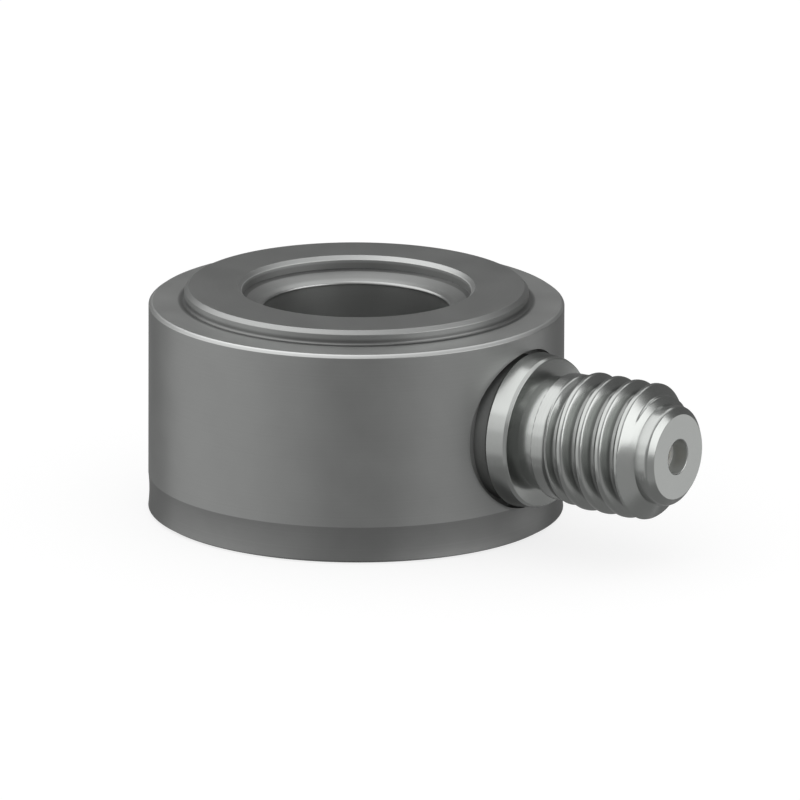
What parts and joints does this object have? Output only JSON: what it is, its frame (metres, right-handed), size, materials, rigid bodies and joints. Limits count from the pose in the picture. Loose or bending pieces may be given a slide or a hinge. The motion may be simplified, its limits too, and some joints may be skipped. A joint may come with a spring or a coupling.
{
  "type": "piezoelectric ring force sensor",
  "caption": "Flat steel ring that measures the load clamped through its bolt hole, with a raised load face and a threaded coaxial connector on its side.",
  "frame": {"origin": "centre of the bolt hole on the base face", "axes": "+Z along the bolt hole from the base face to the raised load face, +X along the connector, away from the ring"},
  "size_m": [0.0207, 0.0144, 0.008],
  "materials": {
    "case_steel": "dark satin stainless steel, fine turned",
    "connector_steel": "bright turned stainless steel",
    "quartz": "lapped clear crystal",
    "gilt_metal": "gold plated",
    "insulation": "white fluoropolymer",
    "seal_glass": "dark fused glass"
  },
  "bodies": {
    "root": {"base_ring": "case_steel", "outer_case": "case_steel", "load_ring": "case_steel", "inner_sleeve": "case_steel", "lower_quartz_ring": "quartz", "electrode_ring": "gilt_metal", "upper_quartz_ring": "quartz", "inner_insulating_sleeve": "insulation", "outer_insulating_ring": "insulation", "connector_shell": "connector_steel", "seal_eyelet": "connector_steel", "glass_seal": "seal_glass", "feedthrough_pin": "gilt_metal", "lead_bush": "insulation", "front_insulator": "insulation", "socket_contact": "gilt_metal"}
  },
  "joints": []
}
